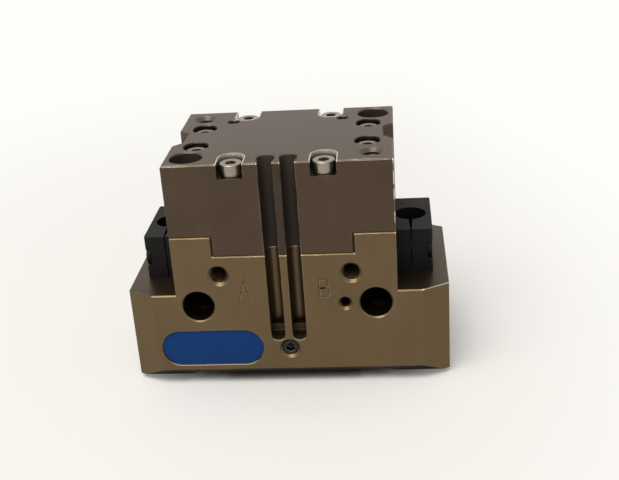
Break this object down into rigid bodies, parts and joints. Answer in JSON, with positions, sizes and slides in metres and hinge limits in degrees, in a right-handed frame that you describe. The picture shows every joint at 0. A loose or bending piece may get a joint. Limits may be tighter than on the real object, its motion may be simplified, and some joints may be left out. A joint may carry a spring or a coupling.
{
  "type": "pneumatic parallel gripper",
  "caption": "Pneumatic parallel gripper: stepped metal housing with sensor slots, air ports, clamp brackets, sliding base jaws and a spring block on top.",
  "frame": {"origin": "centre of the finger faces of the closed jaws, the lowest plane of the part", "axes": "+X along the jaw stroke, +Y away from the face with the air ports, +Z towards the robot flange"},
  "size_m": [0.08, 0.042, 0.059],
  "materials": {
    "housing_anodised": "hard-anodised satin, olive bronze",
    "block_anodised": "hard-anodised satin, grey bronze",
    "seal_rubber": "moulded nitrile rubber",
    "bright_steel": "zinc-plated steel",
    "dark_steel": "blackened steel",
    "bracket_plastic": "black glass-filled plastic",
    "plate_blue": "blue coated foil plate",
    "cover_steel": "stainless sheet",
    "spring_steel": "drawn spring wire",
    "hardened_steel": "ground hardened steel",
    "piston_aluminium": "turned aluminium",
    "magnet_nickel": "nickel-plated magnet"
  },
  "bodies": {
    "gripper_body": {"housing": "housing_anodised", "spring_housing": "block_anodised", "cylinder_seal": "seal_rubber", "rod_seal": "seal_rubber", "edge_screws": "bright_steel", "corner_screws": "bright_steel", "bracket_screws": "bright_steel", "sensor_bracket_left": "bracket_plastic", "sensor_bracket_right": "bracket_plastic", "lube_plug": "dark_steel", "direct_port_plugs": "dark_steel", "name_plate": "plate_blue", "jaw_cover": "cover_steel", "jaw_cover_screws": "bright_steel", "spring_left": "spring_steel", "spring_right": "spring_steel"},
    "piston": {"piston": "piston_aluminium", "piston_seal": "seal_rubber", "piston_magnets": "magnet_nickel", "wedge_hook": "hardened_steel", "piston_screw": "bright_steel"},
    "jaw_left": {"base_jaw_left": "hardened_steel", "control_cam_left": "hardened_steel", "cam_screw_left": "bright_steel"},
    "jaw_right": {"base_jaw_right": "hardened_steel", "control_cam_right": "hardened_steel", "cam_screw_right": "bright_steel"}
  },
  "joints": [
    {"name": "piston_slide", "type": "slide", "parent": "gripper_body", "child": "piston", "axis": [0, 0, 1], "range_m": [0, 0.007], "stiffness_N_per_m": 3000, "springref_m": -0.01, "deforming": ["spring_left", "spring_right"]},
    {"name": "jaw_right_slide", "type": "slide", "parent": "gripper_body", "child": "jaw_right", "axis": [1, 0, 0], "range_m": [0, 0.006]},
    {"name": "jaw_left_slide", "type": "slide", "parent": "gripper_body", "child": "jaw_left", "axis": [-1, 0, 0], "range_m": [0, 0.006]}
  ],
  "couplings": [
    {"joint": "jaw_right_slide", "follows": "piston_slide", "ratio": 0.85714},
    {"joint": "jaw_left_slide", "follows": "piston_slide", "ratio": 0.85714}
  ]
}
